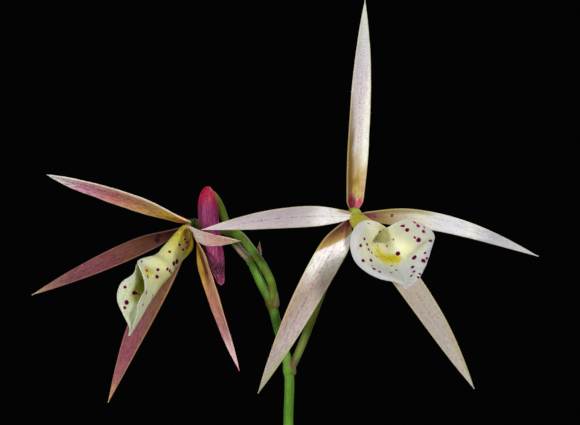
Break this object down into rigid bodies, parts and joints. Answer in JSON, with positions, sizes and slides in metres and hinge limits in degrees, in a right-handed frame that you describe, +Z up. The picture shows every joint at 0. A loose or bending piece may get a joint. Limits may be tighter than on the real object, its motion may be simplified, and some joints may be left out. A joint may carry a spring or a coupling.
{
  "type": "potted brassolaeliocattleya orchid",
  "caption": "Spidery potted orchid with two star-shaped flowers and a bud on one tall stem, slim leafy canes and a bark-filled clay pot.",
  "frame": {"origin": "centre of the pot's flat underside", "axes": "+Z up along the flower stem, +X to the right and -Y towards a viewer who faces the open flower"},
  "size_m": [0.1832, 0.1545, 0.4299],
  "materials": {
    "clay": "unglazed fired clay, matt and slightly chalky",
    "bark": "rough dry bark chips",
    "roots": "silvery papery skin over green",
    "canes": "smooth green, dry pale sheaths low down",
    "leaves": "thick leathery green with a soft sheen",
    "stem": "smooth green, flushed brown and purple towards the flowers",
    "bud": "crimson to purple, finely speckled, waxy",
    "tepals_pink": "dusky rose with golden bases and faint dotted veins, waxy",
    "tepals_pale": "cream white flushed pink with dotted veins, waxy",
    "lips": "white to pale yellow with round purple spots, velvety",
    "columns": "waxy yellow green"
  },
  "bodies": {
    "root": {"pot": "clay", "bark_mix": "bark", "rhizome_with_roots": "roots", "cane_1": "canes", "cane_2": "canes", "cane_3": "canes", "cane_4": "canes", "cane_5": "canes", "leaf_1": "leaves", "leaf_2": "leaves", "leaf_3": "leaves", "leaf_4": "leaves", "leaf_5": "leaves", "flower_stem": "stem", "bud": "bud", "flower_1_dorsal_sepal": "tepals_pink", "flower_1_right_petal": "tepals_pink", "flower_1_left_petal": "tepals_pink", "flower_1_right_sepal": "tepals_pink", "flower_1_left_sepal": "tepals_pink", "flower_2_dorsal_sepal": "tepals_pale", "flower_2_right_petal": "tepals_pale", "flower_2_left_petal": "tepals_pale", "flower_2_right_sepal": "tepals_pale", "flower_2_left_sepal": "tepals_pale", "flower_1_lip": "lips", "flower_2_lip": "lips", "flower_1_column": "columns", "flower_2_column": "columns"}
  },
  "joints": []
}
